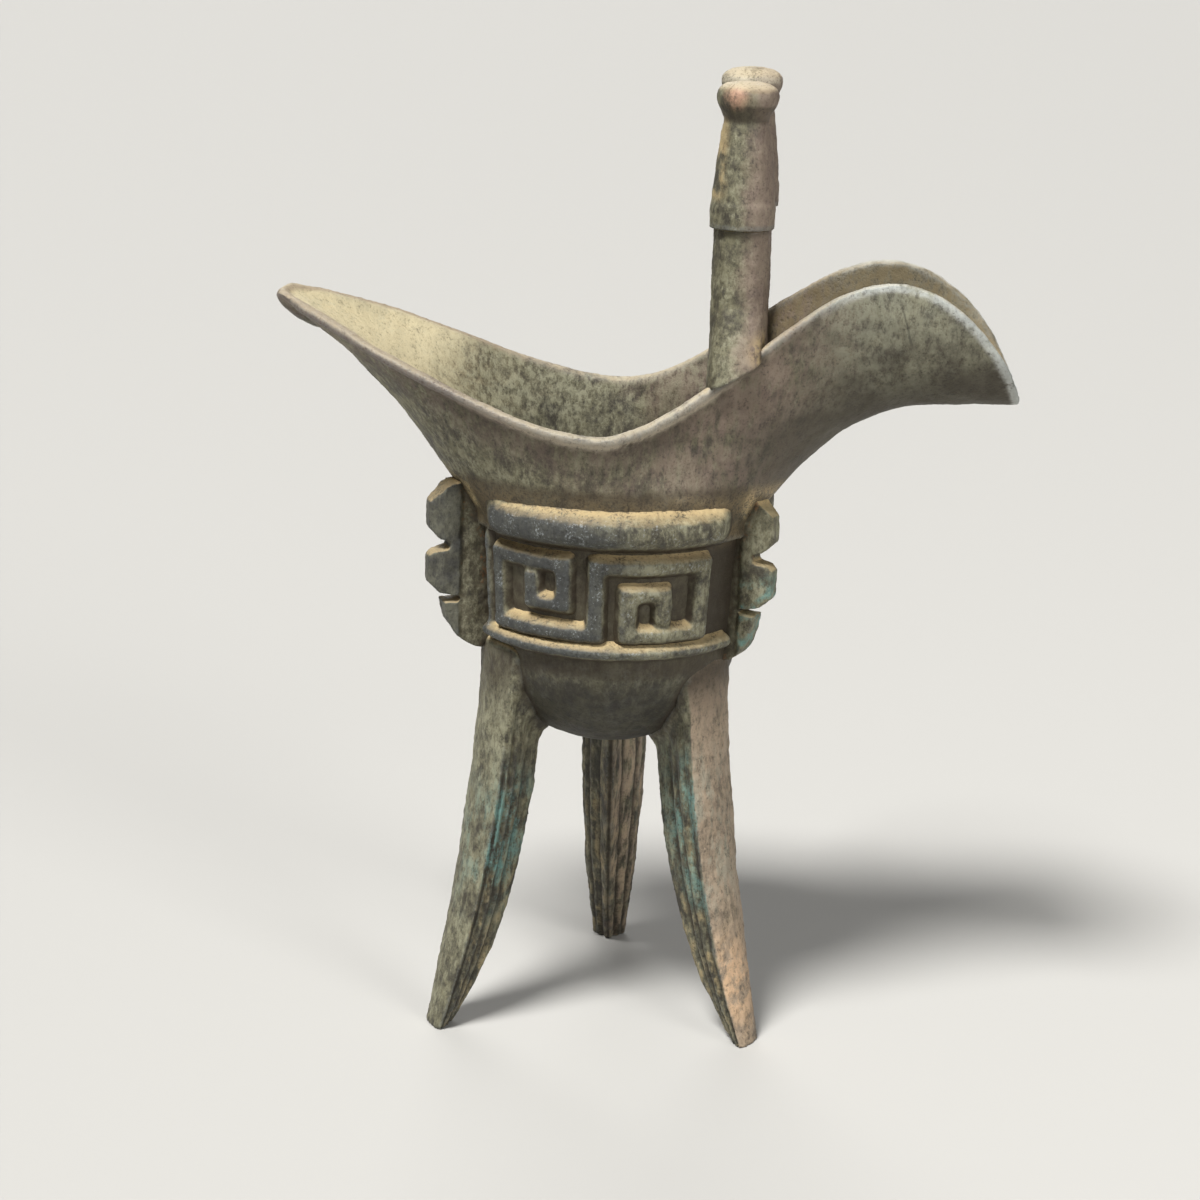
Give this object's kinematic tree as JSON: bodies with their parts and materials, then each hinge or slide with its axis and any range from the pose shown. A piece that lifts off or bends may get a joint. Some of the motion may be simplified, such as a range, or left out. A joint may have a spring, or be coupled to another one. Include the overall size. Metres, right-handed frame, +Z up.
{
  "type": "bronze jue vessel",
  "caption": "Cast bronze pouring vessel on sabre legs, with an open spout, a pointed tail, capped posts on the rim, a spiral frieze, toothed flanges and a strap handle.",
  "frame": {"origin": "on the bowl's axis at floor level, midway between the three feet", "axes": "+X towards the spout, +Z up, +Y towards the handle and the rear leg"},
  "size_m": [0.1243, 0.0654, 0.1625],
  "materials": {
    "cup_bronze": "patinated, matt",
    "band_bronze": "patinated, matt",
    "post_bronze": "patinated, worn",
    "leg_bronze": "patinated, verdigris"
  },
  "bodies": {
    "root": {"cup_body": "cup_bronze", "front_neck_moulding": "band_bronze", "front_frieze": "band_bronze", "front_base_moulding": "band_bronze", "spout_side_rear_neck_moulding": "band_bronze", "spout_side_rear_frieze": "band_bronze", "spout_side_rear_base_moulding": "band_bronze", "tail_side_rear_neck_moulding": "band_bronze", "tail_side_rear_frieze": "band_bronze", "tail_side_rear_base_moulding": "band_bronze", "tail_side_flange": "band_bronze", "spout_side_flange": "band_bronze", "handle": "band_bronze", "front_post": "post_bronze", "rear_post": "post_bronze", "front_post_cap": "post_bronze", "rear_post_cap": "post_bronze", "rear_leg": "leg_bronze", "tail_side_leg": "leg_bronze", "spout_side_leg": "leg_bronze"}
  },
  "joints": []
}
